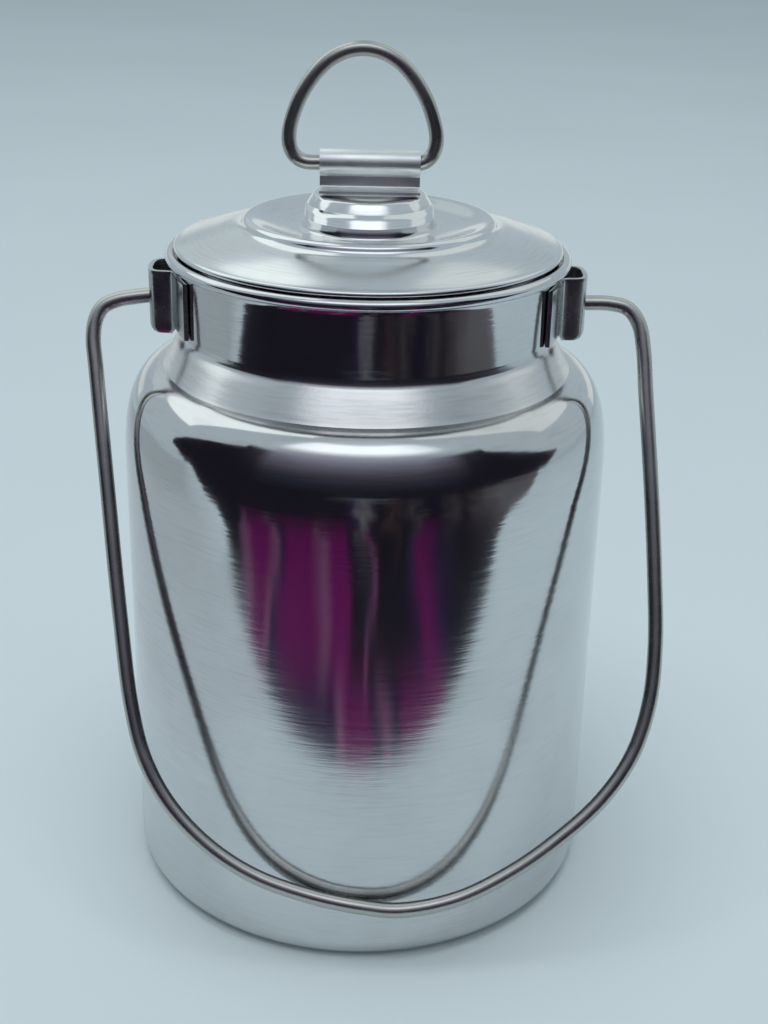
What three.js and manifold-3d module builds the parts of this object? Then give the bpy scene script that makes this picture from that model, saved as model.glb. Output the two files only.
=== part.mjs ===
// Two litre milk can with a bail handle and a lift-off plug lid.
// Millimetres, +Z up. The origin is on the can's axis, in the plane it stands on.
// -Y is the front, where the bail rests against the body.
import * as THREE from 'three';
import { mergeVertices } from 'three/addons/utils/BufferGeometryUtils.js';
import Module from 'manifold-3d';

const wasm = await Module();
wasm.setup();

// Turned parts
const ROUND_STEPS = 40;

// Can body
const BODY_SHEET = 0.8;
const BODY_RADIUS = 65;
const BASE_CORNER_RADIUS = 6;
// Outer surface of the shoulder, [radius, height], from the wall to the crease under the neck.
const SHOULDER_PROFILE = [
  [65.0, 121.0], [64.8, 129.0], [64.3, 134.4], [63.2, 139.4],
  [61.5, 143.0], [59.2, 145.6], [56.7, 147.0], [54.0, 147.8],
];
// Outer surface from the crease up to the straight neck.
const NECK_FOOT_PROFILE = [[52.35, 151.2], [50.7, 154.5], [49.5, 156.6], [49.1, 158.6]];
const NECK_RADIUS = 49.1;
const RIM_RADIUS = 52.8;
const RIM_BEAD_RADIUS = 1.45;
const RIM_CENTRE_Z = 177.0;
const RIM_FLARE_RADIUS = 5;
const RIM_JOIN_DEG = 45;
const RIM_CURL_END_DEG = -115;

// Ears
const EAR_SHEET = 1.2;
const EAR_BOTTOM_Z = 156.4;
const EAR_FLANGE_BOTTOM_Z = 158.3;
const EAR_TOP_Z = 172.8;
const EAR_CROWN_X = 57.3;
const EAR_CORNER_RADIUS = 3.2;
// Middle of the sheet seen from above, [x, y], front half of the right ear.
const EAR_PLAN = [
  [45.75, 20.2], [47.6, 15.4], [48.85, 10.8], [49.35, 8.9], [50.3, 7.45], [51.7, 6.75],
  [54.0, 6.5], [55.5, 5.9], [56.3, 4.6], [56.7, 2.4],
];
const BAIL_HOLE_RADIUS = 2.45;
const HOLE_STEPS = 20;

// Bail
const BAIL_WIRE_RADIUS = 2.0;
const BAIL_PIVOT_Z = 164.6;
const BAIL_HEAD_RADIUS = 3.3;
const BAIL_HEAD_X = [51.0, 52.4];
const BAIL_REST_GAP = 0.6;
const BAIL_LOWEST = 159.6;
const BAIL_STEPS = 96;
const WIRE_SIDES = 8;
// Middle of the wire in the bail's own plane, [x, distance below the pivot], left to right.
const BAIL_PATH = [
  [-52.0, 0], [-57.0, 0.1], [-62.0, 0.7], [-66.2, 1.6], [-69.6, 3.3], [-71.5, 6.6], [-72.1, 11.5],
  [-71.2, 20], [-67.7, 50], [-63.5, 85], [-60.1, 108.3], [-56.5, 121.5], [-49.9, 133.4],
  [-39.6, 144.1], [-27.3, 151.9], [-12.5, 157.0], [0.4, 159.6], [11.1, 160.4], [26.2, 157.2],
  [40.2, 150.1], [51.9, 141.7], [63.4, 131.1], [71.4, 119.3], [75.7, 106], [77.2, 91], [76.8, 71],
  [75.6, 47.5], [73.9, 22.9], [73.2, 12.2], [71.9, 5.4], [69.0, 1.4], [64.5, 0.1], [57.0, 0], [52.0, 0],
];

// Lid
const LID_SHEET = 0.7;
const LID_EDGE_RADIUS = 50.5;
const LID_EDGE_BOTTOM_Z = 178.4;
const LID_FOLD_RADIUS = 0.5;
const LID_SKIRT_RADIUS = 47.8;
const LID_SKIRT_BEND_RADIUS = 1.0;
const LID_SKIRT_TAPER_Z = 168.5;
const LID_SKIRT_BOTTOM_Z = 166.4;
const LID_SKIRT_TAPER = 0.7;
// Outer surface of the lid, [radius, height], from the axis out to the folded edge.
const LID_PROFILE = [
  [0, 192.1], [6, 192.25], [13.4, 192.8], [14.3, 192.65], [15, 191.8], [16.2, 189.9], [16.5, 189.1],
  [16.6, 188], [16.9, 185.2], [17.3, 184.3], [18.4, 183.9], [24.5, 184.7], [30.4, 186.5], [31.7, 186.6],
  [32.6, 186.1], [33.2, 185.0], [34.2, 184.3], [38.5, 183.4], [44.5, 181.8],
];

// Lid clip and loop
const CLIP_SHEET = 1.0;
const CLIP_HALF_WIDTH = 12.8;
const CLIP_FOOT_REACH = 6.6;
const CLIP_FOOT_BOTTOM_Z = 193.1;
const CLIP_BEND_RADIUS = 1.2;
const CLIP_WAIST_HALF = 0.95;
const CLIP_BARREL_RADIUS = 3.5;
const CLIP_BARREL_STEPS = 16;
const BARREL_Z = 200.15;
const LOOP_WIRE_RADIUS = 1.9;
const LOOP_SIDE_SHIFT = -2.0;
const LOOP_STEPS = 42;
// Middle of the wire, [distance from the loop's middle, height above the barrel's axis], one half.
const LOOP_HALF_PATH = [
  [4.2, 0], [9.5, 0], [14.2, 0.05], [16.2, 0.75], [17.7, 2.2], [18.6, 4.6], [18.6, 7.7], [17.8, 11.2],
  [16.3, 15.2], [14.2, 19.0], [11.6, 22.5], [8.3, 25.5], [4.3, 27.5], [0, 28.2],
];

function steelMaterial(colour, roughness) {
  return new THREE.MeshStandardMaterial({ color: colour, metalness: 1, roughness });
}

function bodySteel() {
  return steelMaterial(0xc4c7c8, 0.22);
}

function earSteel() {
  return steelMaterial(0xbcbfc0, 0.28);
}

function wireSteel() {
  return steelMaterial(0xc9cccd, 0.14);
}

function lidSteel() {
  return steelMaterial(0xc8cbcc, 0.18);
}

function clipSteel() {
  return steelMaterial(0xc2c5c6, 0.2);
}

function radians(degrees) {
  return (degrees * Math.PI) / 180;
}

// Points on an arc about [cx, cy], both ends included.
function arcPoints(cx, cy, radius, fromDeg, toDeg, steps) {
  const points = [];
  for (let i = 0; i <= steps; i += 1) {
    const angle = radians(fromDeg + ((toDeg - fromDeg) * i) / steps);
    points.push([cx + radius * Math.cos(angle), cy + radius * Math.sin(angle)]);
  }
  return points;
}

// Unit normal to the left of the step from a to b.
function leftNormal(a, b) {
  const length = Math.hypot(b[0] - a[0], b[1] - a[1]);
  return [-(b[1] - a[1]) / length, (b[0] - a[0]) / length];
}

// Moves an open path sideways by the distance, mitred at its corners; left is positive.
function offsetPath(path, distance) {
  return path.map((point, i) => {
    const before = path[Math.max(i - 1, 0)];
    const after = path[Math.min(i + 1, path.length - 1)];
    const first = i === 0 ? leftNormal(point, after) : leftNormal(before, point);
    const second = i === path.length - 1 ? first : leftNormal(point, after);
    const sum = [first[0] + second[0], first[1] + second[1]];
    const scale = distance / (sum[0] * first[0] + sum[1] * first[1]);
    return [point[0] + sum[0] * scale, point[1] + sum[1] * scale];
  });
}

// Closed outline of a sheet whose middle follows the path.
function sheetOutline(middle, thickness) {
  const right = offsetPath(middle, -thickness / 2);
  const left = offsetPath(middle, thickness / 2);
  return right.concat(left.reverse());
}

function manifoldOf(geometry) {
  const bare = geometry.clone();
  bare.deleteAttribute('normal');
  bare.deleteAttribute('uv');
  const merged = mergeVertices(bare, 1e-5);
  return new wasm.Manifold(new wasm.Mesh({
    numProp: 3,
    vertProperties: new Float32Array(merged.attributes.position.array),
    triVerts: new Uint32Array(merged.index.array),
  }));
}

function geometryOf(manifold) {
  const mesh = manifold.getMesh();
  const geometry = new THREE.BufferGeometry();
  geometry.setAttribute('position', new THREE.BufferAttribute(new Float32Array(mesh.vertProperties), 3));
  geometry.setIndex(new THREE.BufferAttribute(new Uint32Array(mesh.triVerts), 1));
  geometry.computeVertexNormals();
  return geometry;
}

// Turns a sheet about the Z axis; its middle starts on the axis, [radius, height].
function turnedSheet(middle, thickness) {
  const outline = sheetOutline(middle, thickness);
  outline[0][0] = 0;
  outline[outline.length - 1][0] = 0;
  const points = outline.map(([r, z]) => new THREE.Vector2(r, z));
  const geometry = new THREE.LatheGeometry(points, ROUND_STEPS);
  geometry.rotateX(Math.PI / 2);
  return geometry;
}

// Outline of a round wire's section.
function wireSection(radius) {
  const points = arcPoints(0, 0, radius, 0, 360, WIRE_SIDES).slice(0, WIRE_SIDES);
  return new THREE.Shape(points.map(([x, y]) => new THREE.Vector2(x, y)));
}

// Round wire along [x, z] points in the plane y = 0.
function bentWire(path, radius, steps) {
  const curve = new THREE.CatmullRomCurve3(path.map(([x, z]) => new THREE.Vector3(x, 0, z)), false, 'centripetal');
  return new THREE.ExtrudeGeometry(wireSection(radius), { steps, extrudePath: curve });
}

// Extrudes an outline in the XY plane from z = bottom to z = top.
function prism(outline, bottom, top) {
  const shape = new THREE.Shape(outline.map(([x, y]) => new THREE.Vector2(x, y)));
  const geometry = new THREE.ExtrudeGeometry(shape, { depth: top - bottom, bevelEnabled: false });
  geometry.translate(0, 0, bottom);
  return geometry;
}

// Middle line of the rolled rim, from the top of the neck round to the sheet's edge.
function rimCurlPath() {
  const neckR = NECK_RADIUS - BODY_SHEET / 2;
  const curlR = RIM_BEAD_RADIUS - BODY_SHEET / 2;
  const centreR = RIM_RADIUS - RIM_BEAD_RADIUS;
  const lean = radians(RIM_JOIN_DEG);
  const joinR = centreR - curlR * Math.cos(lean);
  const joinZ = RIM_CENTRE_Z + curlR * Math.sin(lean);
  const across = joinR - neckR - RIM_FLARE_RADIUS * (1 - Math.cos(lean));
  const flareZ = joinZ - RIM_FLARE_RADIUS * Math.sin(lean) - across / Math.tan(lean);
  const flare = arcPoints(neckR + RIM_FLARE_RADIUS, flareZ, RIM_FLARE_RADIUS, 180, 180 - RIM_JOIN_DEG, 3);
  const curl = arcPoints(centreR, RIM_CENTRE_Z, curlR, 180 - RIM_JOIN_DEG, RIM_CURL_END_DEG, 9);
  return flare.concat(curl);
}

function canBody() {
  const half = BODY_SHEET / 2;
  const cornerCentre = BODY_RADIUS - BASE_CORNER_RADIUS;
  const base = arcPoints(cornerCentre, BASE_CORNER_RADIUS, BASE_CORNER_RADIUS - half, -90, 0, 4);
  const upper = offsetPath(SHOULDER_PROFILE.concat(NECK_FOOT_PROFILE), half);
  const middle = [[0, half], ...base, ...upper, ...rimCurlPath()];
  return new THREE.Mesh(turnedSheet(middle, BODY_SHEET), bodySteel());
}

// Side view of the space an ear fills, which trims its flanges and rounds its lower corner.
function earTrim() {
  const centre = [EAR_CROWN_X - EAR_CORNER_RADIUS, EAR_BOTTOM_Z + EAR_CORNER_RADIUS];
  const corner = arcPoints(centre[0], centre[1], EAR_CORNER_RADIUS, -90, 0, 5);
  const outline = [
    [40, EAR_FLANGE_BOTTOM_Z], [49.9, EAR_FLANGE_BOTTOM_Z], [50.9, EAR_BOTTOM_Z],
    ...corner, [EAR_CROWN_X, EAR_TOP_Z], [40, EAR_TOP_Z],
  ];
  const geometry = prism(outline, -25, 25);
  geometry.rotateX(Math.PI / 2);
  return geometry;
}

// Right ear; the left one is this turned half way round the Z axis.
function earGeometry() {
  const back = EAR_PLAN.map(([x, y]) => [x, y]);
  const front = EAR_PLAN.map(([x, y]) => [x, -y]).reverse();
  const section = sheetOutline(back.concat(front), EAR_SHEET);
  const sheet = manifoldOf(prism(section.reverse(), EAR_BOTTOM_Z, EAR_TOP_Z));
  const hole = new THREE.CylinderGeometry(BAIL_HOLE_RADIUS, BAIL_HOLE_RADIUS, 8, HOLE_STEPS);
  hole.rotateZ(Math.PI / 2);
  hole.translate(EAR_CROWN_X, 0, BAIL_PIVOT_Z);
  return geometryOf(sheet.intersect(manifoldOf(earTrim())).subtract(manifoldOf(hole)));
}

function earRight() {
  return new THREE.Mesh(earGeometry(), earSteel());
}

function earLeft() {
  const ear = new THREE.Mesh(earGeometry(), earSteel());
  ear.rotation.z = Math.PI;
  return ear;
}

// Head that keeps a wire end inside its ear; side is -1 for left and 1 for right.
function bailHead(side) {
  const [inner, outer] = BAIL_HEAD_X;
  const head = new THREE.CylinderGeometry(BAIL_HEAD_RADIUS, BAIL_HEAD_RADIUS, outer - inner, 16);
  head.rotateZ(Math.PI / 2);
  head.translate((side * (inner + outer)) / 2, 0, 0);
  return head;
}

function bail() {
  const path = BAIL_PATH.map(([x, below]) => [x, -below]);
  const wire = manifoldOf(bentWire(path, BAIL_WIRE_RADIUS, BAIL_STEPS));
  const withHeads = wire.add(manifoldOf(bailHead(-1))).add(manifoldOf(bailHead(1)));
  const mesh = new THREE.Mesh(geometryOf(withHeads), wireSteel());
  mesh.position.set(0, 0, BAIL_PIVOT_Z);
  mesh.rotation.x = -Math.asin((BODY_RADIUS + BAIL_WIRE_RADIUS + BAIL_REST_GAP) / BAIL_LOWEST);
  return mesh;
}

// Middle line of the folded edge and the plug skirt below it.
function lidEdgePath() {
  const half = LID_SHEET / 2;
  const foldR = LID_EDGE_RADIUS - LID_FOLD_RADIUS - half;
  const foldZ = LID_EDGE_BOTTOM_Z + LID_FOLD_RADIUS + half;
  const fold = arcPoints(foldR, foldZ, LID_FOLD_RADIUS, 90, -90, 5);
  const skirtR = LID_SKIRT_RADIUS - half;
  const bendZ = foldZ - LID_FOLD_RADIUS - LID_SKIRT_BEND_RADIUS;
  const bend = arcPoints(skirtR + LID_SKIRT_BEND_RADIUS, bendZ, LID_SKIRT_BEND_RADIUS, 90, 180, 3);
  const skirt = [[skirtR, LID_SKIRT_TAPER_Z], [skirtR - LID_SKIRT_TAPER, LID_SKIRT_BOTTOM_Z]];
  return fold.concat(bend, skirt);
}

function lid() {
  const top = offsetPath(LID_PROFILE, -LID_SHEET / 2);
  top[0][0] = 0;
  return new THREE.Mesh(turnedSheet(top.concat(lidEdgePath()), LID_SHEET), lidSteel());
}

// Middle line of the strap, [y, z], from one foot round the barrel to the other.
function clipPath() {
  const half = CLIP_SHEET / 2;
  const footZ = CLIP_FOOT_BOTTOM_Z + half;
  const bendCentre = CLIP_WAIST_HALF + CLIP_BEND_RADIUS;
  const barrelR = CLIP_BARREL_RADIUS - half;
  const opening = (Math.asin(CLIP_WAIST_HALF / barrelR) * 180) / Math.PI;
  const right = arcPoints(bendCentre, footZ + CLIP_BEND_RADIUS, CLIP_BEND_RADIUS, 270, 180, 3);
  const barrel = arcPoints(0, BARREL_Z, barrelR, -90 + opening, 270 - opening, CLIP_BARREL_STEPS);
  const left = right.map(([y, z]) => [-y, z]).reverse();
  return [[CLIP_FOOT_REACH, footZ], ...right, ...barrel, ...left, [-CLIP_FOOT_REACH, footZ]];
}

function lidClip() {
  const outline = sheetOutline(clipPath(), CLIP_SHEET);
  const geometry = prism(outline, -CLIP_HALF_WIDTH, CLIP_HALF_WIDTH);
  geometry.rotateX(Math.PI / 2);
  geometry.rotateZ(Math.PI / 2);
  return new THREE.Mesh(geometry, clipSteel());
}

function lidLoop() {
  const right = LOOP_HALF_PATH.map(([x, z]) => [x, z]);
  const left = LOOP_HALF_PATH.slice(0, -1).map(([x, z]) => [-x, z]).reverse();
  const mesh = new THREE.Mesh(bentWire(right.concat(left), LOOP_WIRE_RADIUS, LOOP_STEPS), wireSteel());
  mesh.position.set(LOOP_SIDE_SHIFT, 0, BARREL_Z);
  return mesh;
}

function named(name, mesh) {
  mesh.name = name;
  return mesh;
}

const can = new THREE.Group();
can.name = 'milk_can';
can.add(named('can_body', canBody()));
can.add(named('ear_left', earLeft()));
can.add(named('ear_right', earRight()));
can.add(named('bail', bail()));

const lidGroup = new THREE.Group();
lidGroup.name = 'lid_assembly';
lidGroup.add(named('lid', lid()));
lidGroup.add(named('lid_clip', lidClip()));
lidGroup.add(named('lid_loop', lidLoop()));
can.add(lidGroup);

export default can;
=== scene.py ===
# Milk can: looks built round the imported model. Metres, row frame, +Z up, -Y front.
import math

import bmesh
import bpy
import numpy as np
from mathutils import Matrix, Vector


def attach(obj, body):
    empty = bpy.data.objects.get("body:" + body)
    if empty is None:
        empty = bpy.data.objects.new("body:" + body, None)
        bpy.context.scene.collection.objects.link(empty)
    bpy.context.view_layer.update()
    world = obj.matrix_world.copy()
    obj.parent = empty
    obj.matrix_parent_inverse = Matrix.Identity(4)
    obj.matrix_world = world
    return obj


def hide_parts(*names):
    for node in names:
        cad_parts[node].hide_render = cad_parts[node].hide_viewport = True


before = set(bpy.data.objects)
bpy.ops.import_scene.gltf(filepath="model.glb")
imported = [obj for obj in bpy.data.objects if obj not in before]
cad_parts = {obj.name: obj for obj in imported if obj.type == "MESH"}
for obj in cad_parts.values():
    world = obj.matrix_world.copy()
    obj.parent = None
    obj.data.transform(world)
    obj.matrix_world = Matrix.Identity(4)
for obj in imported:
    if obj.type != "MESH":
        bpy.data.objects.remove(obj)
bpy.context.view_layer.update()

MM = 0.001

# Camera, from its place and its turns in degrees
CAMERA_POS = Vector((-0.00061, -0.39385, 0.27405))
CAMERA_DOWN = 23.443
CAMERA_YAW = 0.90
CAMERA_ROLL = 1.318
CAMERA_LENS = 53.86
CAMERA_SENSOR = 36.0

# Facets of turned parts and of wires, and the angle from which an edge stays sharp
TURN_STEPS = 256
WIRE_SIDES = 24
SHARP_ANGLE = 35.0
# Bevels: segments, and the angle from which an edge gets one
BEVEL_SEGMENTS = 2
BEVEL_ANGLE = 50.0

# Can body, mm
BODY_SHEET = 0.8
BODY_RADIUS = 65.0
BASE_CORNER = 6.0
SHOULDER_START_Z = 121.0
SHOULDER_LIMIT = (51.5, 148.1)
SHOULDER_POWER = 0.741
SHOULDER_STEPS = 48
CREASE_RADIUS = 54.0
NECK_FOOT = [(54.0, 147.8), (52.35, 151.2), (50.7, 154.5), (49.5, 156.6), (49.1, 158.6)]
NECK_RADIUS = 49.1
RIM_RADIUS = 52.8
RIM_BEAD = 1.45
RIM_Z = 177.0
RIM_FLARE = 5.0
RIM_JOIN = 45.0
RIM_CURL_END = -115.0

# Ears, mm
EAR_SHEET = 1.2
EAR_BOTTOM_Z = 156.4
EAR_FLANGE_Z = 158.3
EAR_TOP_Z = 172.8
EAR_FLANGE_X = 49.9
EAR_CROWN_START_X = 50.9
EAR_LEVELS = 14
EAR_BEVEL = 0.22
EAR_CROWN_X = 57.3
EAR_CORNER = 3.2
EAR_PLAN = [
    (45.75, 20.2), (47.6, 15.4), (48.85, 10.8), (49.35, 8.9), (50.3, 7.45), (51.7, 6.75),
    (54.0, 6.5), (55.5, 5.9), (56.3, 4.6), (56.7, 2.4),
]
EAR_PLAN_END = (56.75, 0)
EAR_HOLE_RADIUS = 2.45
HOLE_STEPS = 40

# Bail, mm
BAIL_WIRE = 2.0
BAIL_PIVOT_Z = 164.6
BAIL_HEAD_RADIUS = 3.3
BAIL_HEAD_X = (51.0, 52.4)
BAIL_HEAD_EDGE = 0.3
BAIL_REST_GAP = 0.45
BAIL_LOWEST = 159.6
BAIL_PATH = [
    (-52.0, 0), (-57.0, 0.1), (-62.0, 0.7), (-66.2, 1.6), (-69.6, 3.3), (-71.5, 6.6), (-72.1, 11.5),
    (-71.2, 20), (-67.7, 50), (-63.5, 85), (-60.1, 108.3), (-56.5, 121.5), (-49.9, 133.4),
    (-39.6, 144.1), (-27.3, 151.9), (-12.5, 157.0), (0.4, 159.6), (11.1, 160.4), (26.2, 157.2),
    (40.2, 150.1), (51.9, 141.7), (63.4, 131.1), (71.4, 119.3), (75.7, 106), (77.2, 91), (76.8, 71),
    (75.6, 47.5), (73.9, 22.9), (73.2, 12.2), (71.9, 5.4), (69.0, 1.4), (64.5, 0.1), (57.0, 0), (52.0, 0),
]

# Lid, mm
LID_SHEET = 0.7
LID_EDGE_RADIUS = 50.5
LID_EDGE_Z = 178.4
LID_FOLD = 0.5
LID_SKIRT_RADIUS = 47.8
LID_SKIRT_BEND = 1.0
LID_SKIRT_TAPER_Z = 168.5
LID_SKIRT_END_Z = 166.4
LID_SKIRT_TAPER = 0.7
LID_PROFILE = [
    (0, 192.1), (6, 192.25), (13.4, 192.8), (14.3, 192.65), (15, 191.8), (16.2, 189.9), (16.5, 189.1),
    (16.6, 188), (16.9, 185.2), (17.3, 184.3), (18.4, 183.9), (24.5, 184.7), (30.4, 186.5),
    (31.7, 186.6), (32.6, 186.1), (33.2, 185.0), (34.2, 184.3), (38.5, 183.4), (44.5, 181.8),
]

# Clip and loop, mm
CLIP_SHEET = 1.0
CLIP_HALF_WIDTH = 12.8
CLIP_FOOT = 6.6
CLIP_FOOT_Z = 193.1
CLIP_BEND = 1.2
CLIP_WAIST = 0.95
CLIP_BARREL = 3.5
CLIP_BEVEL = 0.2
BARREL_Z = 200.15
LOOP_WIRE = 1.9
LOOP_SHIFT = -2.0
LOOP_HALF = [
    (4.2, 0), (9.5, 0), (14.2, 0.05), (16.2, 0.75), (17.7, 2.2), (18.6, 4.6), (18.6, 7.7), (17.8, 11.2),
    (16.3, 15.2), (14.2, 19.0), (11.6, 22.5), (8.3, 25.5), (4.3, 27.5), (0, 28.2),
]


# ---------------------------------------------------------------- shapes

def arc(cx, cy, radius, start, end, steps):
    """Points on an arc about (cx, cy), angles in degrees, both ends included."""
    angles = np.radians(np.linspace(start, end, steps + 1))
    return [(cx + radius * math.cos(a), cy + radius * math.sin(a)) for a in angles]


def smooth(points, per_span):
    """Centripetal Catmull-Rom curve through the points, as three.js draws it."""
    p = [np.array(q, float) for q in points]
    first = 2 * p[0] - p[1]
    last = 2 * p[-1] - p[-2]
    p = [first, *p, last]
    out = []
    for i in range(1, len(p) - 2):
        a, b, c, d = p[i - 1:i + 3]
        t0 = 0.0
        t1 = t0 + math.sqrt(np.linalg.norm(b - a))
        t2 = t1 + math.sqrt(np.linalg.norm(c - b))
        t3 = t2 + math.sqrt(np.linalg.norm(d - c))
        for t in np.linspace(t1, t2, per_span, endpoint=False):
            ab = (t1 - t) / (t1 - t0) * a + (t - t0) / (t1 - t0) * b
            bc = (t2 - t) / (t2 - t1) * b + (t - t1) / (t2 - t1) * c
            cd = (t3 - t) / (t3 - t2) * c + (t - t2) / (t3 - t2) * d
            abc = (t2 - t) / (t2 - t0) * ab + (t - t0) / (t2 - t0) * bc
            bcd = (t3 - t) / (t3 - t1) * bc + (t - t1) / (t3 - t1) * cd
            out.append(tuple((t2 - t) / (t2 - t1) * abc + (t - t1) / (t2 - t1) * bcd))
    out.append(tuple(p[-2]))
    return out


def resampled(points, spacing):
    """The same line with points at even spacing."""
    p = np.array(points, float)
    run = np.r_[0, np.cumsum(np.linalg.norm(np.diff(p, axis=0), axis=1))]
    count = max(2, int(round(run[-1] / spacing)) + 1)
    at = np.linspace(0, run[-1], count)
    return [tuple(np.interp(s, run, p[:, k]) for k in range(p.shape[1])) for s in at]


def offset(path, distance):
    """Moves an open 2-D path to its left, mitred at the corners."""
    p = np.array(path, float)
    step = np.diff(p, axis=0)
    step /= np.linalg.norm(step, axis=1)[:, None]
    normal = np.stack([-step[:, 1], step[:, 0]], 1)
    first = np.vstack([normal[:1], normal])
    second = np.vstack([normal, normal[-1:]])
    both = first + second
    scale = distance / np.sum(both * first, axis=1)
    return [tuple(q) for q in p + both * scale[:, None]]


def sheet_outline(middle, thickness):
    """Closed outline of a sheet whose middle follows the path."""
    return offset(middle, -thickness / 2) + offset(middle, thickness / 2)[::-1]


def new_object(name, verts, faces, uv=None):
    """Mesh object from millimetre vertices, smooth shaded, with creases left sharp."""
    mesh = bpy.data.meshes.new(name)
    mesh.from_pydata([tuple(MM * c for c in v) for v in verts], [], faces)
    if uv is not None:
        layer = mesh.uv_layers.new(name="UVMap")
        for loop in mesh.loops:
            layer.data[loop.index].uv = uv[loop.vertex_index]
    bm = bmesh.new()
    bm.from_mesh(mesh)
    bmesh.ops.recalc_face_normals(bm, faces=bm.faces)
    bm.to_mesh(mesh)
    bm.free()
    mesh.shade_smooth()
    mesh.set_sharp_from_angle(angle=math.radians(SHARP_ANGLE))
    obj = bpy.data.objects.new(name, mesh)
    bpy.context.scene.collection.objects.link(obj)
    return obj


def turned(name, outline):
    """Turns a closed outline, which starts and ends on the axis, about Z."""
    rows = outline[1:-1]
    verts = [(0.0, 0.0, outline[0][1])]
    for k in range(TURN_STEPS):
        a = 2 * math.pi * k / TURN_STEPS
        verts += [(r * math.sin(a), -r * math.cos(a), z) for r, z in rows]
    verts.append((0.0, 0.0, outline[-1][1]))
    n = len(rows)
    end = len(verts) - 1
    faces = []
    for k in range(TURN_STEPS):
        here = 1 + k * n
        there = 1 + ((k + 1) % TURN_STEPS) * n
        faces.append((0, there, here))
        faces += [(here + i, there + i, there + i + 1, here + i + 1) for i in range(n - 1)]
        faces.append((here + n - 1, there + n - 1, end))
    return new_object(name, verts, faces)


def swept(name, points, radii, square=None):
    """Round wire along (x, z) points in the plane y = 0; radii gives its radius at each point.

    Where square is true, the section stays square to X.
    """
    p = np.array([(x, 0.0, z) for x, z in points], float)
    at = np.arange(len(p))
    tangent = p[np.minimum(at + 1, len(p) - 1)] - p[np.maximum(at - 1, 0)]
    if square is not None:
        tangent[square] = (1.0, 0.0, 0.0)
    tangent /= np.linalg.norm(tangent, axis=1)[:, None]
    across = np.array([0.0, 1.0, 0.0])
    run = np.r_[0, np.cumsum(np.linalg.norm(np.diff(p, axis=0), axis=1))]
    verts = []
    uv = []
    for i, (point, t) in enumerate(zip(p, tangent)):
        other = np.cross(t, across)
        for k in range(WIRE_SIDES):
            a = 2 * math.pi * k / WIRE_SIDES
            verts.append(tuple(point + radii[i] * (math.cos(a) * other + math.sin(a) * across)))
            uv.append((run[i] * MM, k / WIRE_SIDES))
    faces = []
    last = (len(p) - 1) * WIRE_SIDES
    for ring in range(0, last, WIRE_SIDES):
        for k in range(WIRE_SIDES):
            n = (k + 1) % WIRE_SIDES
            faces.append((ring + k, ring + n, ring + WIRE_SIDES + n, ring + WIRE_SIDES + k))
    faces.append(tuple(range(WIRE_SIDES))[::-1])
    faces.append(tuple(last + k for k in range(WIRE_SIDES)))
    return new_object(name, verts, faces, uv)


def prism_x(name, outline, half_width):
    """Extrudes a (y, z) outline along X, both ways from the middle."""
    n = len(outline)
    verts = [(-half_width, y, z) for y, z in outline] + [(half_width, y, z) for y, z in outline]
    faces = [(i, (i + 1) % n, n + (i + 1) % n, n + i) for i in range(n)]
    faces.append(tuple(range(n))[::-1])
    faces.append(tuple(range(n, 2 * n)))
    return new_object(name, verts, faces)


def bevel(obj, width):
    mod = obj.modifiers.new("edge", "BEVEL")
    mod.width = width * MM
    mod.segments = BEVEL_SEGMENTS
    mod.limit_method = "ANGLE"
    mod.angle_limit = math.radians(BEVEL_ANGLE)
    mod.harden_normals = False


def applied(obj):
    """Bakes the object's modifiers into its mesh."""
    graph = bpy.context.evaluated_depsgraph_get()
    mesh = bpy.data.meshes.new_from_object(obj.evaluated_get(graph))
    old = obj.data
    obj.modifiers.clear()
    obj.data = mesh
    bpy.data.meshes.remove(old)
    mesh.shade_smooth()
    mesh.set_sharp_from_angle(angle=math.radians(SHARP_ANGLE))


# ---------------------------------------------------------------- pieces

def shoulder_profile():
    """Outer surface from the wall to the crease, a superellipse."""
    limit_r, limit_z = SHOULDER_LIMIT
    start = BODY_RADIUS - limit_r
    rise = limit_z - SHOULDER_START_Z
    end = math.acos(((CREASE_RADIUS - limit_r) / start) ** (1 / SHOULDER_POWER))
    points = []
    for k in range(SHOULDER_STEPS + 1):
        t = end * (k / SHOULDER_STEPS) ** 1.3
        r = limit_r + start * math.cos(t) ** SHOULDER_POWER
        z = SHOULDER_START_Z + rise * math.sin(t) ** SHOULDER_POWER if t > 0 else SHOULDER_START_Z
        points.append((r, z))
    return points


def rim_curl():
    neck = NECK_RADIUS - BODY_SHEET / 2
    curl = RIM_BEAD - BODY_SHEET / 2
    centre = RIM_RADIUS - RIM_BEAD
    lean = math.radians(RIM_JOIN)
    join_r = centre - curl * math.cos(lean)
    join_z = RIM_Z + curl * math.sin(lean)
    across = join_r - neck - RIM_FLARE * (1 - math.cos(lean))
    flare_z = join_z - RIM_FLARE * math.sin(lean) - across / math.tan(lean)
    flare = arc(neck + RIM_FLARE, flare_z, RIM_FLARE, 180, 180 - RIM_JOIN, 10)
    return flare + arc(centre, RIM_Z, curl, 180 - RIM_JOIN, RIM_CURL_END, 28)


def make_can_body():
    half = BODY_SHEET / 2
    corner = BODY_RADIUS - BASE_CORNER
    base = arc(corner, BASE_CORNER, BASE_CORNER - half, -90, 0, 14)
    shoulder = resampled(shoulder_profile(), 0.8)
    foot = smooth(NECK_FOOT, 8)
    upper = offset(shoulder + foot[1:], half)
    wall = [(BODY_RADIUS - half, z) for z in np.linspace(10, SHOULDER_START_Z - 4, 24)]
    middle = [(0, half)] + base + wall + upper + rim_curl()
    outline = sheet_outline(middle, BODY_SHEET)
    outline[0] = (0, outline[0][1])
    outline[-1] = (0, outline[-1][1])
    return turned("can_shell", outline)


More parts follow.
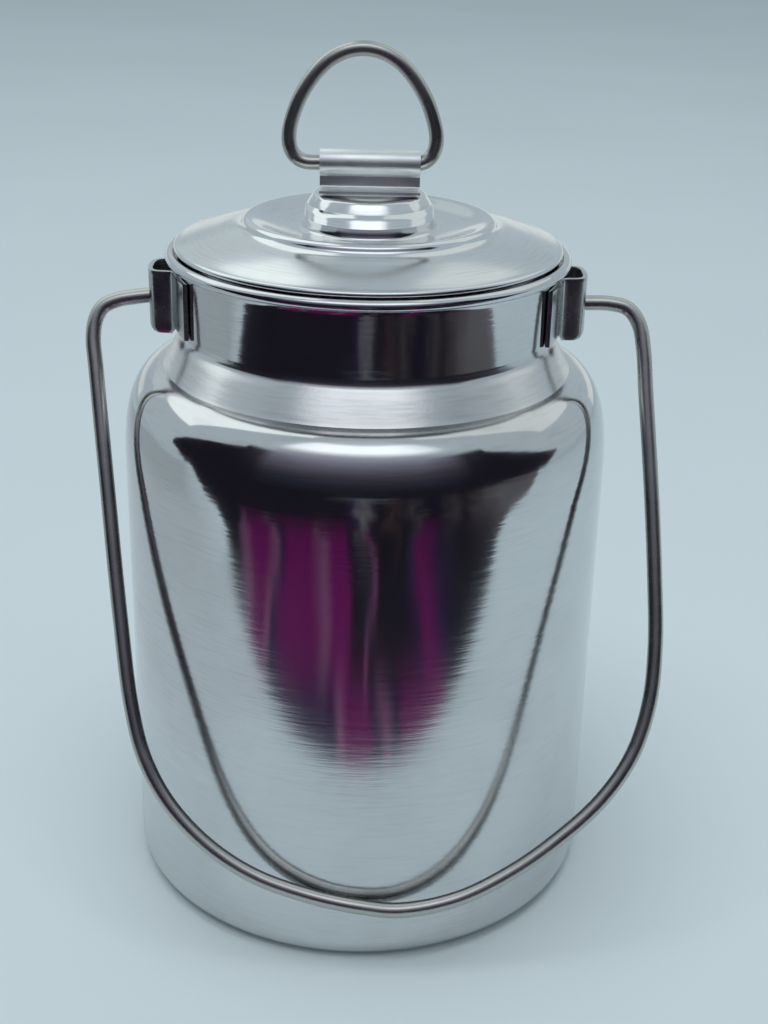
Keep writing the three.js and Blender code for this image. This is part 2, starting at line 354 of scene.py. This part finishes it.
def make_lid():
    half = LID_SHEET / 2
    fold_r = LID_EDGE_RADIUS - LID_FOLD - half
    fold_z = LID_EDGE_Z + LID_FOLD + half
    skirt = LID_SKIRT_RADIUS - half
    top = offset(smooth(LID_PROFILE + [(fold_r, fold_z + LID_FOLD + half)], 5), -half)
    fold = arc(fold_r, fold_z, LID_FOLD, 90, -90, 16)
    bend_z = fold_z - LID_FOLD - LID_SKIRT_BEND
    bend = arc(skirt + LID_SKIRT_BEND, bend_z, LID_SKIRT_BEND, 90, 180, 8)
    end = [(skirt, LID_SKIRT_TAPER_Z), (skirt - LID_SKIRT_TAPER, LID_SKIRT_END_Z)]
    middle = [(0, top[0][1])] + top[1:-1] + fold + bend + end
    outline = sheet_outline(middle, LID_SHEET)
    outline[0] = (0, outline[0][1])
    outline[-1] = (0, outline[-1][1])
    return turned("lid_pressing", outline)


def ear_bottom(x):
    """Lowest height of the ear's sheet at a distance x from the can's axis."""
    if x <= EAR_FLANGE_X:
        return EAR_FLANGE_Z
    if x < EAR_CROWN_START_X:
        share = (x - EAR_FLANGE_X) / (EAR_CROWN_START_X - EAR_FLANGE_X)
        return EAR_FLANGE_Z + (EAR_BOTTOM_Z - EAR_FLANGE_Z) * share
    over = x - (EAR_CROWN_X - EAR_CORNER)
    if over <= 0:
        return EAR_BOTTOM_Z
    return EAR_BOTTOM_Z + EAR_CORNER - math.sqrt(max(EAR_CORNER ** 2 - over ** 2, 0))


def make_ear(name, side):
    """side 1 is the right ear, -1 the left."""
    plan = smooth(EAR_PLAN + [EAR_PLAN_END] + [(x, -y) for x, y in EAR_PLAN[::-1]], 6)
    outline = sheet_outline(plan, EAR_SHEET)
    n = len(outline)
    verts = []
    for j in range(EAR_LEVELS + 1):
        for x, y in outline:
            low = ear_bottom(x)
            verts.append((side * x, side * y, low + (EAR_TOP_Z - low) * (j / EAR_LEVELS)))
    faces = []
    for j in range(EAR_LEVELS):
        for i in range(n):
            k = (i + 1) % n
            faces.append((j * n + i, j * n + k, (j + 1) * n + k, (j + 1) * n + i))
    top = EAR_LEVELS * n
    for i in range(n // 2 - 1):
        faces.append((i, n - 1 - i, n - 2 - i, i + 1))
        faces.append((top + i, top + i + 1, top + n - 2 - i, top + n - 1 - i))
    ear = new_object(name, verts, faces)
    cutter = bail_hole(side)
    cut = ear.modifiers.new("hole", "BOOLEAN")
    cut.operation = "DIFFERENCE"
    cut.solver = "EXACT"
    cut.object = cutter
    bevel(ear, EAR_BEVEL)
    applied(ear)
    bpy.data.objects.remove(cutter)
    return ear


def bail_hole(side):
    """Round cutter along X through the ear's crown."""
    verts = []
    for x in (EAR_CROWN_X - 4, EAR_CROWN_X + 4):
        for k in range(HOLE_STEPS):
            a = 2 * math.pi * k / HOLE_STEPS
            y = EAR_HOLE_RADIUS * math.cos(a)
            z = BAIL_PIVOT_Z + EAR_HOLE_RADIUS * math.sin(a)
            verts.append((side * x, y, z))
    faces = [(k, (k + 1) % HOLE_STEPS, HOLE_STEPS + (k + 1) % HOLE_STEPS, HOLE_STEPS + k)
             for k in range(HOLE_STEPS)]
    faces.append(tuple(range(HOLE_STEPS))[::-1])
    faces.append(tuple(range(HOLE_STEPS, 2 * HOLE_STEPS)))
    return new_object("hole_cutter", verts, faces)


def bail_tilt():
    return math.asin((BODY_RADIUS + BAIL_WIRE + BAIL_REST_GAP) / BAIL_LOWEST)


def make_bail():
    path = resampled(smooth(BAIL_PATH, 12), 0.9)
    inner, outer = BAIL_HEAD_X
    ends = []
    for side in (-1, 1):
        rim = BAIL_HEAD_RADIUS - BAIL_HEAD_EDGE
        steps = [(inner, 0.01), (inner, rim), (inner + BAIL_HEAD_EDGE, BAIL_HEAD_RADIUS),
                 (outer - BAIL_HEAD_EDGE, BAIL_HEAD_RADIUS), (outer, rim), (outer, BAIL_WIRE)]
        ends.append([(side * x, r) for x, r in steps])
    left, right = ends
    body = [(x, z) for x, z in path if outer + 0.4 < abs(x) or z > 3]
    points = [(x, 0.0) for x, _ in left]
    points += [(x, -z) for x, z in body]
    points += [(x, 0.0) for x, _ in right[::-1]]
    radii = [r for _, r in left] + [BAIL_WIRE] * len(body) + [r for _, r in right[::-1]]
    in_head = np.array([abs(x) < outer + 0.01 and abs(z) < 0.01 for x, z in points])
    bail = swept("bail_wire", points, radii, in_head)
    turn = Matrix.Translation((0, 0, BAIL_PIVOT_Z * MM)) @ Matrix.Rotation(-bail_tilt(), 4, "X")
    bail.data.transform(turn)
    return bail


def make_clip():
    half = CLIP_SHEET / 2
    foot = CLIP_FOOT_Z + half
    bend = CLIP_WAIST + CLIP_BEND
    barrel = CLIP_BARREL - half
    opening = math.degrees(math.asin(CLIP_WAIST / barrel))
    right = arc(bend, foot + CLIP_BEND, CLIP_BEND, 270, 180, 8)
    roll = arc(0, BARREL_Z, barrel, -90 + opening, 270 - opening, 64)
    left = [(-y, z) for y, z in right[::-1]]
    middle = [(CLIP_FOOT, foot)] + right + roll + left + [(-CLIP_FOOT, foot)]
    clip = prism_x("clip_strap", sheet_outline(middle, CLIP_SHEET), CLIP_HALF_WIDTH)
    bevel(clip, CLIP_BEVEL)
    applied(clip)
    return clip


def make_loop():
    half = [(x + LOOP_SHIFT, z + BARREL_Z) for x, z in LOOP_HALF]
    other = [(-x + LOOP_SHIFT, z + BARREL_Z) for x, z in LOOP_HALF[:-1]][::-1]
    path = resampled(smooth(half + other, 12), 0.5)
    return swept("loop_wire", path, [LOOP_WIRE] * len(path))


# ---------------------------------------------------------------- materials

class Nodes:
    """Small helper that adds shader nodes to one material."""

    def __init__(self, name):
        self.mat = bpy.data.materials.new(name)
        self.mat.use_nodes = True
        self.tree = self.mat.node_tree
        self.tree.nodes.clear()

    def add(self, kind, **settings):
        node = self.tree.nodes.new(kind)
        for key, value in settings.items():
            setattr(node, key, value)
        return node

    def link(self, source, target):
        self.tree.links.new(source, target)

    def math(self, operation, a, b=None):
        node = self.add("ShaderNodeMath", operation=operation)
        for socket, value in zip(node.inputs, (a, b)):
            if value is None:
                continue
            if isinstance(value, (int, float)):
                socket.default_value = value
            else:
                self.link(value, socket)
        return node.outputs[0]

    def noise(self, vector, scale, detail, rough=0.5):
        node = self.add("ShaderNodeTexNoise")
        node.inputs["Scale"].default_value = scale
        node.inputs["Detail"].default_value = detail
        node.inputs["Roughness"].default_value = rough
        self.link(vector, node.inputs["Vector"])
        return node.outputs["Fac"]

    def remap(self, value, low, high, to_low, to_high):
        node = self.add("ShaderNodeMapRange")
        node.inputs["From Min"].default_value = low
        node.inputs["From Max"].default_value = high
        node.inputs["To Min"].default_value = to_low
        node.inputs["To Max"].default_value = to_high
        self.link(value, node.inputs["Value"])
        return node.outputs["Result"]

    def ramp(self, value, table, low, high):
        """Colours or grey levels along a value; table gives (value, level or colour) in order."""
        node = self.add("ShaderNodeValToRGB")
        node.color_ramp.interpolation = "LINEAR"
        stops = node.color_ramp.elements
        while len(stops) > 1:
            stops.remove(stops[-1])
        for k, (at, level) in enumerate(table):
            place_at = (at - low) / (high - low)
            stop = stops[0] if k == 0 else stops.new(place_at)
            stop.position = place_at
            stop.color = (*level, 1) if isinstance(level, tuple) else (level, level, level, 1)
        self.link(self.remap(value, low, high, 0.0, 1.0), node.inputs[0])
        return node.outputs["Color"]

    def position(self):
        """Object coordinates as a vector, then x, y and z."""
        coords = self.add("ShaderNodeTexCoord").outputs["Object"]
        split = self.add("ShaderNodeSeparateXYZ")
        self.link(coords, split.inputs[0])
        return coords, *split.outputs

    def reach(self, x, y):
        """Distance from the Z axis."""
        return self.math("SQRT", self.math("ADD", self.math("MULTIPLY", x, x), self.math("MULTIPLY", y, y)))

    def turn(self, x, y):
        """Azimuth in degrees, 0 toward -Y and growing toward +X."""
        return self.math("MULTIPLY", self.math("ARCTAN2", x, self.math("MULTIPLY", y, -1.0)), 180 / math.pi)

    def bump(self, height, distance):
        node = self.add("ShaderNodeBump")
        node.inputs["Strength"].default_value = 1.0
        node.inputs["Distance"].default_value = distance
        self.link(height, node.inputs["Height"])
        return node.outputs[0]

    def blend(self, factor, a, b):
        """Colour from a to b, each of which is a colour or a socket."""
        node = self.add("ShaderNodeMix", data_type="RGBA")
        self.link(factor, node.inputs["Factor"])
        for socket, value in zip((node.inputs["A"], node.inputs["B"]), (a, b)):
            if isinstance(value, tuple):
                socket.default_value = (*value, 1)
            else:
                self.link(value, socket)
        return node.outputs["Result"]

    def metal(self, colour, share, dull, rough, normal):
        """Metal whose colour falls to the given share where dull is 1."""
        shader = self.add("ShaderNodeBsdfPrincipled")
        shader.inputs["Metallic"].default_value = 1.0
        self.link(normal, shader.inputs["Normal"])
        self.link(rough, shader.inputs["Roughness"])
        darker = tuple(share * c for c in colour)
        self.link(self.blend(dull, colour, darker), shader.inputs["Base Color"])
        return shader

    def glow(self, colour, strength=1.0):
        node = self.add("ShaderNodeEmission")
        node.inputs["Strength"].default_value = strength
        if isinstance(colour, tuple):
            node.inputs["Color"].default_value = (*colour, 1)
        else:
            self.link(colour, node.inputs["Color"])
        return self.output(node)

    def output(self, shader):
        out = self.add("ShaderNodeOutputMaterial")
        self.link(shader.outputs[0], out.inputs["Surface"])
        return self.mat

    def combine(self, x, y, z):
        node = self.add("ShaderNodeCombineXYZ")
        for socket, value in zip(node.inputs, (x, y, z)):
            if isinstance(value, (int, float)):
                socket.default_value = value
            else:
                self.link(value, socket)
        return node.outputs[0]


# Repeats per metre of the spun marks: across X and Y, then along the turned profile
BAND_REPEATS = (30.0, 480.0)
LINE_REPEATS = (90.0, 2400.0)
# Heights in mm of the speckle and of the ridges where the grain is coarse
SPECKLE_HEIGHT = 0.02
RIDGE_HEIGHT = 0.03
# Share of the colour that the dullest steel keeps
DULL_SHARE = 0.8
STRAP_DULL_SHARE = 0.82


def spun_noise(n, x, y, along, repeats, detail, rough):
    across, down = repeats
    at = n.combine(n.math("MULTIPLY", x, across), n.math("MULTIPLY", y, across),
                   n.math("MULTIPLY", along, down))
    return n.noise(at, 1.0, detail, rough)


def turned_steel(name, colour, aniso, finish, grain, lean, bands, fine, low, high):
    """Polished steel with marks that run round the Z axis.

    finish and grain give roughness and coarse grain at heights in mm. lean gives a bump height in mm,
    whose slope tips the shading normals. bands and fine are the heights of the marks in mm.
    """
    n = Nodes(name)
    coords, x, y, z = n.position()
    along = n.math("ADD", n.reach(x, y), z)
    band = spun_noise(n, x, y, along, BAND_REPEATS, 3.0, 0.65)
    line = spun_noise(n, x, y, along, LINE_REPEATS, 2.0, 0.5)
    cloud = n.noise(coords, 34.0, 4.0, 0.6)
    speckle = n.noise(coords, 1500.0, 3.0, 0.6)
    zone = n.ramp(z, [(MM * h, g) for h, g in grain], MM * low, MM * high)
    height = n.math("ADD", n.math("MULTIPLY", band, bands), n.math("MULTIPLY", line, fine))
    coarse = n.math("ADD", n.math("MULTIPLY", speckle, SPECKLE_HEIGHT),
                    n.math("MULTIPLY", line, RIDGE_HEIGHT))
    height = n.math("ADD", height, n.math("MULTIPLY", coarse, zone))
    most = max(h for _, h in lean)
    tipped = n.ramp(z, [(MM * at, h / most) for at, h in lean], MM * low, MM * high)
    height = n.math("ADD", height, n.math("MULTIPLY", tipped, most))
    base = n.ramp(z, [(MM * h, r) for h, r in finish], MM * low, MM * high)
    worn = n.math("ADD", n.remap(cloud, 0.45, 0.75, 0.0, 0.03), n.remap(line, 0.35, 0.7, 0.0, 0.015))
    dull = n.math("ADD", n.remap(cloud, 0.45, 0.8, 0.0, 0.5), n.remap(line, 0.5, 0.8, 0.0, 0.5))
    shader = n.metal(colour, DULL_SHARE, dull, n.math("ADD", worn, base), n.bump(height, MM))
    shader.inputs["Anisotropic"].default_value = aniso
    shader.inputs["Anisotropic Rotation"].default_value = 0.25
    tangent = n.add("ShaderNodeTangent", direction_type="RADIAL", axis="Z")
    n.link(tangent.outputs[0], shader.inputs["Tangent"])
    return n.output(shader)


def wire_steel(name, colour, rough):
    """Polished round wire with faint drawing lines along it."""
    n = Nodes(name)
    coords = n.add("ShaderNodeTexCoord")
    split = n.add("ShaderNodeSeparateXYZ")
    n.link(coords.outputs["UV"], split.inputs[0])
    u, v, _ = split.outputs
    angle = n.math("MULTIPLY", v, 2 * math.pi)
    lines_at = n.combine(n.math("MULTIPLY", u, 60.0), n.math("MULTIPLY", n.math("COSINE", angle), 9.0),
                         n.math("MULTIPLY", n.math("SINE", angle), 9.0))
    lines = n.noise(lines_at, 1.0, 3.0, 0.6)
    dents = n.noise(coords.outputs["Object"], 160.0, 2.0, 0.5)
    cloud = n.noise(coords.outputs["Object"], 70.0, 3.0, 0.6)
    height = n.math("ADD", n.math("MULTIPLY", lines, 0.5), n.math("MULTIPLY", dents, 2.0))
    worn = n.math("ADD", n.remap(cloud, 0.4, 0.75, 0.0, 0.1), rough)
    dull = n.remap(lines, 0.45, 0.75, 0.0, 0.6)
    return n.output(n.metal(colour, DULL_SHARE, dull, worn, n.bump(height, 0.02 * MM)))


def strap_steel(name, colour, rough):
    """Polished strip with fine lines along X and small marks."""
    n = Nodes(name)
    coords = n.add("ShaderNodeTexCoord").outputs["Object"]
    stretch = n.add("ShaderNodeVectorMath", operation="MULTIPLY")
    stretch.inputs[1].default_value = (60.0, 1400.0, 1400.0)
    n.link(coords, stretch.inputs[0])
    lines = n.noise(stretch.outputs[0], 1.0, 2.0, 0.5)
    cloud = n.noise(coords, 120.0, 3.0, 0.6)
    height = n.math("ADD", lines, n.math("MULTIPLY", cloud, 3.0))
    worn = n.math("ADD", n.remap(cloud, 0.4, 0.75, 0.0, 0.12), rough)
    dull = n.remap(lines, 0.4, 0.75, 0.0, 0.5)
    return n.output(n.metal(colour, STRAP_DULL_SHARE, dull, worn, n.bump(height, 0.012 * MM)))


# ---------------------------------------------------------------- object

def place(obj, body, node, material):
    obj.data.materials.clear()
    obj.data.materials.append(material)
    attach(obj, body)
    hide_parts(node)


STEEL = (0.66, 0.67, 0.68)
LID_STEEL = (0.72, 0.74, 0.75)
EAR_STEEL = (0.52, 0.55, 0.55)
CLIP_STEEL = (0.88, 0.895, 0.90)
WIRE_STEEL = (0.49, 0.50, 0.47)
# Roughness, and share of coarse grain, at heights in mm
BODY_FINISH = [
    (0, 0.12), (60, 0.1), (112, 0.095), (122, 0.07), (146.5, 0.07), (148.5, 0.24), (155.5, 0.22),
    (158.5, 0.08), (178, 0.07),
]
BODY_GRAIN = [
    (0, 0.0), (146.5, 0.0), (148.5, 1.0), (155.5, 1.0), (158.5, 0.25), (173, 0.25), (175, 0.0), (178, 0.0),
]
LID_FINISH = [(164, 0.09), (178, 0.1), (180, 0.16), (184.2, 0.15), (185.2, 0.09), (194, 0.11)]
LID_GRAIN = [(164, 0.0), (194, 0.0)]
# Bump heights in mm whose slope tips the shading normals up, by about 12 degrees on the neck's foot
# and 34 on the boss's upper wall. The meshes there are steeper than they look.
BODY_LEAN = [(0, 2.0), (148, 2.0), (156.5, 0.0), (180, 0.0)]
LID_LEAN = [(160, 2.3), (186.8, 2.3), (190.2, 0.0), (195, 0.0)]

body_mat = turned_steel("body_steel", STEEL, 0.85, BODY_FINISH, BODY_GRAIN, BODY_LEAN, 0.03, 0.0015, 0, 180)
lid_mat = turned_steel("lid_steel", LID_STEEL, 0.5, LID_FINISH, LID_GRAIN, LID_LEAN, 0.005, 0.0004, 160, 195)
ear_mat = strap_steel("ear_steel", EAR_STEEL, 0.2)
clip_mat = strap_steel("clip_steel", CLIP_STEEL, 0.36)
wire_mat = wire_steel("wire_steel", WIRE_STEEL, 0.25)

place(make_can_body(), "can", "can_body", body_mat)
place(make_ear("ear_plate_left", -1), "can", "ear_left", ear_mat)
place(make_ear("ear_plate_right", 1), "can", "ear_right", ear_mat)
place(make_bail(), "bail", "bail", wire_mat)
place(make_lid(), "lid", "lid", lid_mat)
place(make_clip(), "lid", "lid_clip", clip_mat)
place(make_loop(), "loop", "lid_loop", wire_mat)


# ---------------------------------------------------------------- stage

FLOOR_COLOUR = (0.70, 0.76, 0.78)
FLOOR_REACH = 12.0
WORLD_COLOUR = (0.48, 0.56, 0.61)
WORLD_STRENGTH = 0.78

# Colours of the cards that only reflections see
PLUM = (0.115, 0.008, 0.085)
ROSE = (0.17, 0.07, 0.15)
NIGHT = (0.010, 0.009, 0.015)
INDIGO = (0.022, 0.012, 0.045)
ASH = (0.045, 0.04, 0.045)
ROOM = (0.47, 0.545, 0.59)
PALE = (0.93, 1.0, 1.0)

# Low dark card: its edge toward the can, and its colours by azimuth between, far out and close in
LOW_CARD_Z = 0.002
LOW_CARD_FRONT = -1.5
BAND_REACH = 60
CARD_EDGE = [
    (-2.2, -0.14), (-0.567, -0.14), (-0.38, -0.17), (-0.22, -0.155), (0.1, -0.157), (0.22, -0.163),
    (0.38, -0.18), (0.567, -0.14), (2.2, -0.14),
]
BANDS_FAR = [
    (-60, NIGHT), (-53, NIGHT), (-50, ROSE), (-47, PLUM), (-42, PLUM), (-39, ROSE), (-36, INDIGO),
    (-32, PLUM), (-22, PLUM), (-18, ROSE), (-15, PLUM), (-8, PLUM), (-5, NIGHT), (1, NIGHT),
    (2.5, ROSE), (4, NIGHT), (18, NIGHT), (22, INDIGO), (26, PLUM), (34, INDIGO), (38, NIGHT),
]
BANDS_OUT = [
    (-60, NIGHT), (-8, NIGHT), (-3, INDIGO), (-1, (0.13, 0.13, 0.15)), (3, NIGHT), (9, NIGHT),
    (12, (0.05, 0.03, 0.03)), (15, NIGHT), (22, ASH), (25, NIGHT), (33, NIGHT), (38, ASH), (44, NIGHT),
    (50, ASH), (60, (0.10, 0.10, 0.11)),
]
BANDS_CLOSE = [
    (-60, NIGHT), (-44, NIGHT), (-38, INDIGO), (-14, INDIGO), (-11, ROSE), (-7, PLUM), (3, PLUM),
    (6, INDIGO), (9, ROSE), (12, INDIGO), (15, PLUM), (32, PLUM), (38, NIGHT),
]

# Front card: radiance by elevation in its middle and at its sides, and the share of the middle by azimuth
GLOW_PEAK = 1.6
FRONT_REACH = 62
FRONT_LOW = 3
FRONT_MIDDLE = [
    (3, NIGHT), (11, (0.02, 0.022, 0.035)), (20, (0.062, 0.058, 0.08)), (30, (0.15, 0.145, 0.19)),
    (39, (0.26, 0.265, 0.34)), (46, (0.40, 0.41, 0.48)), (51, (0.9, 0.95, 1.0)), (55, (1.4, 1.48, 1.55)),
    (70, (1.4, 1.48, 1.55)), (76, (0.62, 0.7, 0.75)), (90, ROOM),
]
FRONT_SIDE = [(3, NIGHT), (38, NIGHT), (43, ROOM), (90, ROOM)]
FRONT_FADE = [(-62, 0.0), (-52, 0.15), (-46, 0.8), (-30, 1.0), (28, 1.0), (42, 0.6), (50, 0.1), (62, 0.0)]

# Far dark card: lowest and highest elevation by azimuth
DARK_LOW = [(-98, 6.5), (-80, -5), (-74, -12), (74, -12), (80, -5), (98, 6.0)]
DARK_HIGH = [
    (-98, 9.0), (-91, 18), (-79, 27), (-63.5, 35), (-50, 40), (0, 46), (50, 42), (60, 37), (71.5, 25),
    (84, 14), (91, 9), (98, 6.2),
]

# Card on the floor to the left: its edges in X and Y
SIDE_CARD_Z = 0.003
SIDE_CARD_X = (-1.2, -0.12)
SIDE_CARD_Y = (-0.15, 0.6)
SIDE_GREY = (0.36, 0.42, 0.45)
SIDE_PALE = (0.52, 0.61, 0.66)


def floor_material():
    n = Nodes("floor_pale")
    coords = n.add("ShaderNodeTexCoord").outputs["Object"]
    cloud = n.remap(n.noise(coords, 2.2, 4.0, 0.55), 0.35, 0.65, 0.0, 1.0)
    shader = n.add("ShaderNodeBsdfPrincipled")
    shader.inputs["Roughness"].default_value = 0.6
    shader.inputs["Specular IOR Level"].default_value = 0.0
    darker = tuple(0.965 * c for c in FLOOR_COLOUR)
    n.link(n.blend(cloud, FLOOR_COLOUR, darker), shader.inputs["Base Color"])
    return n.output(shader)


def glow_material(name, colour, strength=1.0):
    return Nodes(name).glow(colour, strength)


def low_card_material():
    """Near-black card with soft plum bands that fan out from the can."""
    n = Nodes("card_dark")
    coords, x, y, _ = n.position()
    reach = n.reach(x, y)
    turn = n.math("ADD", n.turn(x, y), n.remap(n.noise(coords, 9.0, 1.0), 0.3, 0.7, -4.0, 4.0))
    close, far, out = (
        n.ramp(turn, bands, -BAND_REACH, BAND_REACH) for bands in (BANDS_CLOSE, BANDS_FAR, BANDS_OUT))
    near = n.blend(n.remap(reach, 0.19, 0.23, 0.0, 1.0), close, far)
    return n.glow(n.blend(n.remap(reach, 0.28, 0.5, 1.0, 0.0), out, near))


def front_card_material():
    """Dusk low down, a bright band above it, and the room's tone to either side."""
    n = Nodes("card_front")
    _, x, y, z = n.position()
    rise = n.math("MULTIPLY", n.math("ARCTAN2", z, n.reach(x, y)), 180 / math.pi)
    sides, middle = (
        n.ramp(rise, [(at, tuple(c / GLOW_PEAK for c in level)) for at, level in table], FRONT_LOW, 90)
        for table in (FRONT_SIDE, FRONT_MIDDLE))
    fade = n.ramp(n.turn(x, y), FRONT_FADE, -FRONT_REACH, FRONT_REACH)
    return n.glow(n.blend(fade, sides, middle), GLOW_PEAK)


def side_card_material():
    """Grey to the left of the can, rising softly to the floor's tone toward the can and the front."""
    n = Nodes("card_side")
    _, x, y, _ = n.position()
    pale = n.math("MAXIMUM", n.remap(x, -0.45, -0.12, 0.0, 1.0), n.remap(y, -0.15, -0.03, 1.0, 0.0))
    return n.glow(n.blend(pale, SIDE_GREY, SIDE_PALE))


def staged(name, corners, faces, material):
    mesh = bpy.data.meshes.new(name)
    mesh.from_pydata(corners, [], faces)
    mesh.materials.append(material)
    obj = bpy.data.objects.new(name, mesh)
    bpy.context.scene.collection.objects.link(obj)
    return obj


def card(name, corners, faces, material):
    """Stage surface that only reflections see."""
    obj = staged(name, corners, faces, material)
    obj.visible_camera = False
    obj.visible_shadow = False
    obj.visible_diffuse = False
    obj.visible_transmission = False
    obj.visible_volume_scatter = False


def dome_patch(name, material, radius, left, right, low, high, steps, rows=1):
    """Part of a sphere between two azimuths; low and high give its elevations by azimuth, in degrees."""
    verts = []
    for az in (left + (right - left) * k / steps for k in range(steps + 1)):
        ends = [float(np.interp(az, *zip(*table))) for table in (low, high)]
        for el in np.linspace(*ends, rows + 1):
            a, e = math.radians(az), math.radians(el)
            flat = radius * math.cos(e)
            verts.append((flat * math.sin(a), -flat * math.cos(a), radius * math.sin(e)))
    n = rows + 1
    faces = [(n * k + j, n * k + n + j, n * k + n + j + 1, n * k + j + 1)
             for k in range(steps) for j in range(rows)]
    card(name, verts, faces, material)


def level(elevation):
    """Table for a patch edge at one elevation."""
    return [(0, elevation)]


def level_corners(x_ends, y_ends, z):
    """Corners of a level rectangle."""
    (left, right), (front, back) = x_ends, y_ends
    return [(left, front, z), (right, front, z), (right, back, z), (left, back, z)]


ONE_FACE = [(0, 1, 2, 3)]
FLOOR_ENDS = (-FLOOR_REACH, FLOOR_REACH)
staged("floor", level_corners(FLOOR_ENDS, FLOOR_ENDS, 0), ONE_FACE, floor_material())
edges = len(CARD_EDGE)
card("card_low",
     [(x, y, LOW_CARD_Z) for x, y in CARD_EDGE] + [(x, LOW_CARD_FRONT, LOW_CARD_Z) for x, _ in CARD_EDGE],
     [(k, k + edges, k + edges + 1, k + 1) for k in range(edges - 1)], low_card_material())
DOMES = [
    ("card_far", glow_material("card_night", NIGHT), 1.6, -98, 98, DARK_LOW, DARK_HIGH, 98, 8),
    ("card_front", front_card_material(), 1.5, -FRONT_REACH, FRONT_REACH, level(FRONT_LOW), level(86), 62, 4),
    ("card_back_left", glow_material("card_soft", PALE, 1.2), 1.7, 192, 262,
     [(192, 42), (225, 32), (262, 30)], [(192, 62), (225, 78), (262, 78)], 16),
    ("card_back_low", glow_material("card_low_back", PALE, 0.78), 1.7, 140, 220,
     level(1), [(140, 9), (180, 15), (220, 9)], 16),
    ("card_back_mild", glow_material("card_mild", (0.58, 0.66, 0.69)), 1.75, 186, 228,
     [(186, 19), (228, 22)], [(186, 44), (228, 36)], 12),
    ("card_back_right", glow_material("card_dim", PALE, 0.82), 1.7, 98, 168,
     [(98, 30), (135, 30), (168, 42)], [(98, 78), (135, 78), (168, 62)], 16),
    ("card_room", glow_material("card_room", ROOM), 1.9, -180, 180, level(0.5), level(90), 72, 12),
]
for dome in DOMES:
    dome_patch(*dome)
card("card_left", level_corners(SIDE_CARD_X, SIDE_CARD_Y, SIDE_CARD_Z), ONE_FACE, side_card_material())

world = bpy.data.worlds.new("studio")
bpy.context.scene.world = world
world.use_nodes = True
backdrop = world.node_tree.nodes["Background"]
backdrop.inputs["Color"].default_value = (*WORLD_COLOUR, 1)
backdrop.inputs["Strength"].default_value = WORLD_STRENGTH


def area_light(name, place_at, aim, size, power, colour):
    """Rectangular light that reflections don't see."""
    data = bpy.data.lights.new(name, "AREA")
    data.shape = "RECTANGLE"
    data.size, data.size_y = size
    data.energy = power
    data.color = colour
    obj = bpy.data.objects.new(name, data)
    obj.location = place_at
    obj.rotation_euler = (Vector(aim) - Vector(place_at)).to_track_quat("-Z", "Y").to_euler()
    obj.visible_glossy = False
    bpy.context.scene.collection.objects.link(obj)


area_light("overhead", (-0.25, -0.5, 2.6), (0, -0.2, 0.0), (2.0, 2.0), 32.0, (0.92, 0.98, 1.0))
area_light("fill", (0.1, -0.9, 1.9), (0, -0.2, 0.0), (1.4, 0.8), 3.0, (0.95, 0.98, 1.0))

camera_data = bpy.data.cameras.new("camera")
camera_data.lens = CAMERA_LENS
camera_data.sensor_width = CAMERA_SENSOR
camera_data.clip_start = 0.01
camera_data.clip_end = 50.0
camera = bpy.data.objects.new("camera", camera_data)
bpy.context.scene.collection.objects.link(camera)
down, yaw, roll = (math.radians(a) for a in (CAMERA_DOWN, CAMERA_YAW, CAMERA_ROLL))
ahead = Vector((math.sin(yaw) * math.cos(down), math.cos(yaw) * math.cos(down), -math.sin(down)))
side = Vector((math.cos(yaw), -math.sin(yaw), 0))
up = side.cross(ahead)
right = math.cos(roll) * side + math.sin(roll) * up
top = -math.sin(roll) * side + math.cos(roll) * up
camera.matrix_world = Matrix.Translation(CAMERA_POS) @ Matrix((right, top, -ahead)).transposed().to_4x4()
bpy.context.scene.camera = camera
bpy.context.scene.view_settings.view_transform = "Standard"
